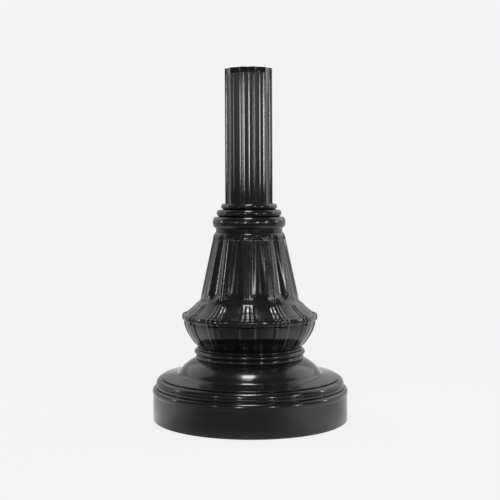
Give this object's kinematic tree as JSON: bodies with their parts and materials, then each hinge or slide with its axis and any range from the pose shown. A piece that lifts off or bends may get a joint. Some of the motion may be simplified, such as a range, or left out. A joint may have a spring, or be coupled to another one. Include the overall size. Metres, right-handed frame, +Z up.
{
  "type": "light pole",
  "caption": "Lower section of an ornamental outdoor light pole: fluted shaft on an anchor plate, inside a stacked round cast base with a ribbed bell and a rear access door.",
  "frame": {"origin": "on the ground at the shaft's axis, at the middle of the bottom of the bounding box", "axes": "+Z up along the shaft; the front that the picture shows faces -Y, and the access door faces +Y"},
  "size_m": [0.4084, 0.4084, 0.732],
  "materials": {
    "black_paint": "gloss black paint on cast or extruded aluminium",
    "bare_aluminium": "as cast or sawn, bare",
    "stainless_steel": "stainless, satin",
    "rubber": "matt black",
    "copper": "bare copper"
  },
  "bodies": {
    "base": {"shaft": "black_paint", "anchor_plate": "bare_aluminium", "anchor_weld": "bare_aluminium", "handhole_ring": "bare_aluminium", "ground_boss": "bare_aluminium", "ground_lug": "copper", "ground_washer": "stainless_steel", "ground_screw": "stainless_steel", "plinth": "black_paint", "dome": "black_paint", "dome_bolts": "stainless_steel", "dome_washers": "stainless_steel", "neck_ring": "black_paint", "centring_plate": "bare_aluminium", "tie_bolts": "stainless_steel", "tie_washers": "stainless_steel", "tie_nuts": "stainless_steel", "bell": "black_paint", "collar": "black_paint", "collar_set_screws": "stainless_steel", "shaft_seal": "rubber", "door_frame": "bare_aluminium", "frame_screws": "stainless_steel"},
    "door": {"access_door": "black_paint", "door_gasket": "rubber", "door_screws": "stainless_steel", "door_screw_retainers": "rubber"}
  },
  "joints": [
    {"name": "door_off", "type": "slide", "parent": "base", "child": "door", "axis": [0, 1, 0], "range_m": [0, 0.12]}
  ]
}
